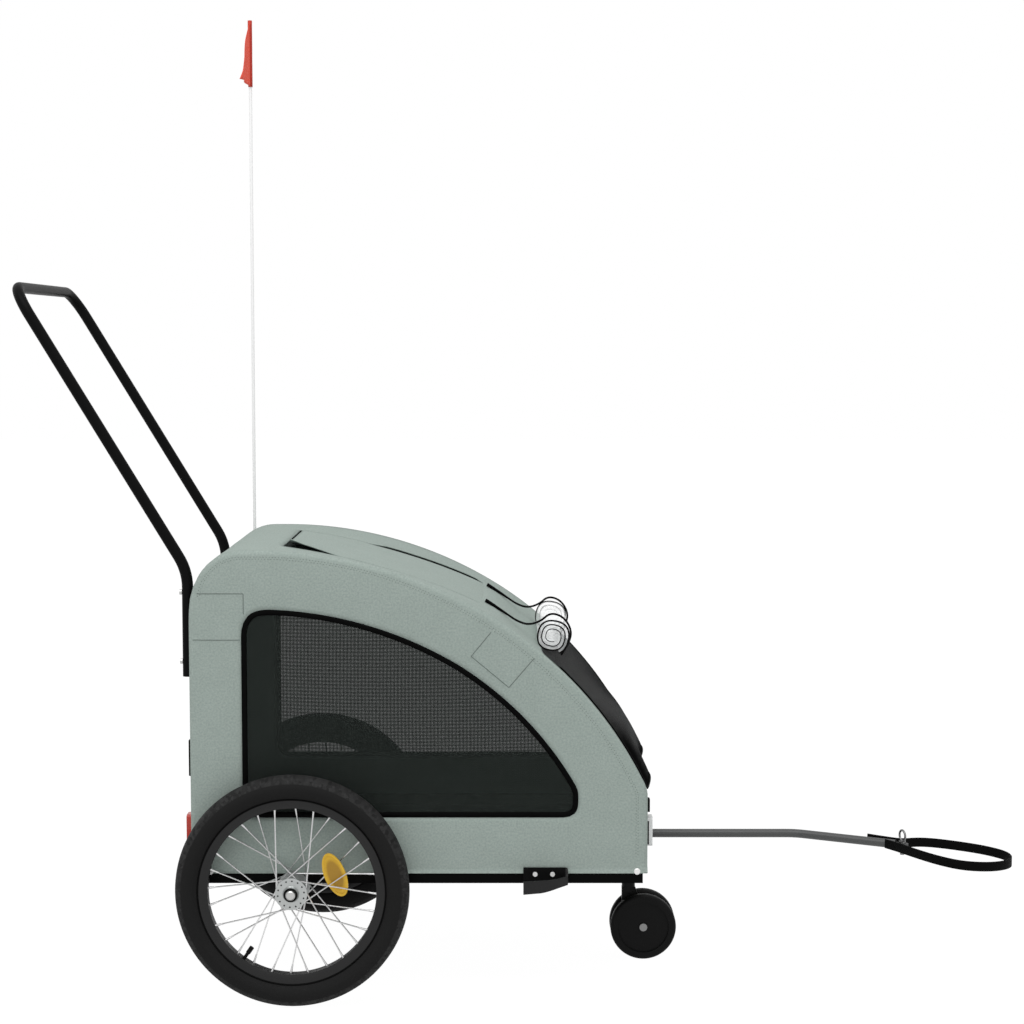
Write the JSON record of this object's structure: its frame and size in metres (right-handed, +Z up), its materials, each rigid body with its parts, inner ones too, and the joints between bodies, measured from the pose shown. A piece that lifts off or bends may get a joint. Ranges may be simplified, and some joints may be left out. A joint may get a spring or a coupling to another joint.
{
  "type": "dog bike trailer",
  "caption": "Pet trailer for a bicycle: cloth cabin with net windows on a tube chassis, spoked wheels, swivel caster, push handle, side tow bar with safety strap, and a flag on a pole.",
  "frame": {"origin": "on the ground below the middle of the trailer, from the handle to the hitch tongue", "axes": "+X forward towards the bicycle, +Y to the trailer's left, +Z up"},
  "size_m": [1.7521, 0.6676, 1.723],
  "materials": {
    "black_tube": "black powder coat",
    "zinc": "zinc plated",
    "cloth": "sage grey coated weave",
    "piping": "black binding tape",
    "mesh": "black open net",
    "floor": "dark board",
    "film": "clear soft film",
    "elastic": "black elastic",
    "clear_reflector": "clear prismatic",
    "red_reflector": "red prismatic",
    "amber_reflector": "amber prismatic",
    "tyre": "black rubber",
    "rim": "satin black",
    "spoke": "bright wire",
    "hub": "machined",
    "black_plastic": "moulded",
    "tow_tube": "grey powder coat",
    "webbing": "black webbing",
    "pole": "white rod",
    "pennant": "red cloth"
  },
  "bodies": {
    "chassis": {"side_rail_right": "black_tube", "side_rail_left": "black_tube", "front_cross_tube": "black_tube", "rear_cross_tube": "black_tube", "mid_cross_tube": "black_tube", "axle_tube": "black_tube", "hoop_right": "black_tube", "hoop_left": "black_tube", "roof_bar_rear": "black_tube", "roof_bar_front": "black_tube", "rear_cross_bars": "black_tube", "push_handle": "black_tube", "caster_socket": "black_tube", "tow_receiver": "black_tube", "wheel_guard_right": "black_tube", "wheel_guard_left": "black_tube", "hoop_bolts": "zinc", "handle_bolts": "zinc", "guard_screws": "zinc", "axle_right": "zinc", "axle_left": "zinc", "side_panel_right": "cloth", "side_panel_left": "cloth", "roof_panel": "cloth", "rear_panel": "cloth", "front_panel": "cloth", "pole_sleeve": "cloth", "window_pipings": "piping", "window_mesh_right": "mesh", "window_mesh_left": "mesh", "roof_mesh": "mesh", "rear_mesh": "mesh", "floor_panel": "floor", "rain_cover_roll": "film", "roll_ties": "elastic", "front_reflectors": "clear_reflector", "rear_reflectors": "red_reflector"},
    "wheel_right": {"tyre_right": "tyre", "rim_right": "rim", "spokes_right": "spoke", "hub_right": "hub", "valve_right": "black_plastic", "spoke_reflector_right": "amber_reflector"},
    "wheel_left": {"tyre_left": "tyre", "rim_left": "rim", "spokes_left": "spoke", "hub_left": "hub", "valve_left": "black_plastic", "spoke_reflector_left": "amber_reflector"},
    "caster_fork": {"caster_fork": "black_plastic", "caster_bolt": "zinc"},
    "caster_wheel": {"caster_discs": "black_plastic"},
    "front_door": {"front_door": "mesh"},
    "roof_flap": {"roof_flap": "cloth"},
    "tow_bar": {"tow_bar": "tow_tube", "safety_strap": "webbing"},
    "hitch_pin": {"hitch_pin": "zinc"},
    "clamp_knob": {"clamp_knob": "black_plastic"},
    "flag": {"flag_pole": "pole", "flag": "pennant"}
  },
  "joints": [
    {"name": "wheel_right_spin", "type": "hinge", "parent": "chassis", "child": "wheel_right", "pos_m": [-0.31344, -0.2965, 0.1975], "axis": [0, 1, 0], "continuous": true},
    {"name": "wheel_left_spin", "type": "hinge", "parent": "chassis", "child": "wheel_left", "pos_m": [-0.31344, 0.2965, 0.1975], "axis": [0, 1, 0], "continuous": true},
    {"name": "caster_swivel", "type": "hinge", "parent": "chassis", "child": "caster_fork", "pos_m": [0.26856, 0, 0.128], "axis": [0, 0, 1], "continuous": true},
    {"name": "caster_spin", "type": "hinge", "parent": "caster_fork", "child": "caster_wheel", "pos_m": [0.29456, 0, 0.0595], "axis": [0, 1, 0], "continuous": true},
    {"name": "front_door_swing", "type": "hinge", "parent": "chassis", "child": "front_door", "pos_m": [0.14026, 0, 0.5694], "axis": [0, -1, 0], "range_deg": [0, 78]},
    {"name": "roof_flap_lift", "type": "hinge", "parent": "chassis", "child": "roof_flap", "pos_m": [-0.00044, 0, 0.6709], "axis": [0, 1, 0], "range_deg": [0, 100]},
    {"name": "tow_bar_slide", "type": "slide", "parent": "chassis", "child": "tow_bar", "axis": [1, 0, 0], "range_m": [0, 0.25]},
    {"name": "hitch_pin_lift", "type": "slide", "parent": "tow_bar", "child": "hitch_pin", "axis": [0, 0, 1], "range_m": [0, 0.03]},
    {"name": "clamp_knob_turn", "type": "hinge", "parent": "chassis", "child": "clamp_knob", "pos_m": [0.24656, 0.152, 0.15], "axis": [0, 0, 1], "continuous": true},
    {"name": "flag_lift", "type": "slide", "parent": "chassis", "child": "flag", "axis": [0, 0, 1], "range_m": [0, 0.11]}
  ]
}
